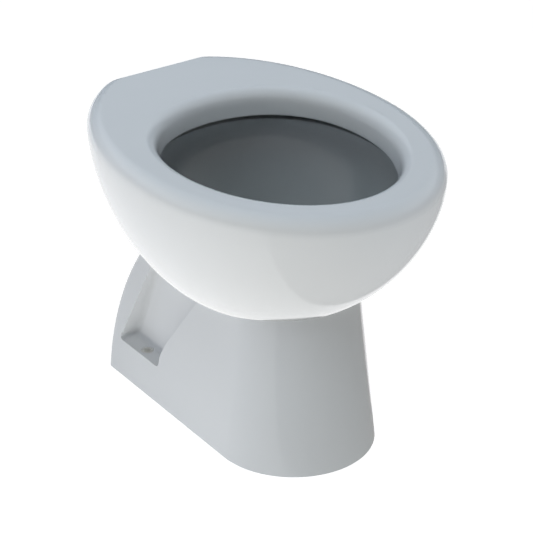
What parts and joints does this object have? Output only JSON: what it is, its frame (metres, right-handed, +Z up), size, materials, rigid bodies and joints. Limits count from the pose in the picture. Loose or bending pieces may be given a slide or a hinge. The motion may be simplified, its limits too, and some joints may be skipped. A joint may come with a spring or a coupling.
{
  "type": "floor-standing toilet pan",
  "caption": "Low floor-standing toilet pan of white glazed china with a broad rolled rim that is sat on, a round bowl and a narrower hollow foot with a screw pocket in each side.",
  "frame": {"origin": "on the floor, in the middle of the pan's width and length", "axes": "+Z up, the front of the pan faces -Y and its flat back faces +Y, +X to the pan's left as someone sits on it"},
  "size_m": [0.295, 0.385, 0.302],
  "materials": {
    "glazed_china": "white gloss glaze over vitreous china",
    "seal_rubber": "matt black moulded rubber",
    "sleeve_nylon": "natural nylon, satin"
  },
  "bodies": {
    "root": {"seat_rim": "glazed_china", "bowl_shell": "glazed_china", "inner_basin": "glazed_china", "channel_floor": "glazed_china", "flush_horn": "glazed_china", "flush_box": "glazed_china", "trap_bend": "glazed_china", "weir_bend": "glazed_china", "drop_leg": "glazed_china", "outlet_spigot": "glazed_china", "pedestal_foot": "glazed_china", "front_web": "glazed_china", "inlet_seal": "seal_rubber", "fixing_sleeves": "sleeve_nylon"}
  },
  "joints": []
}
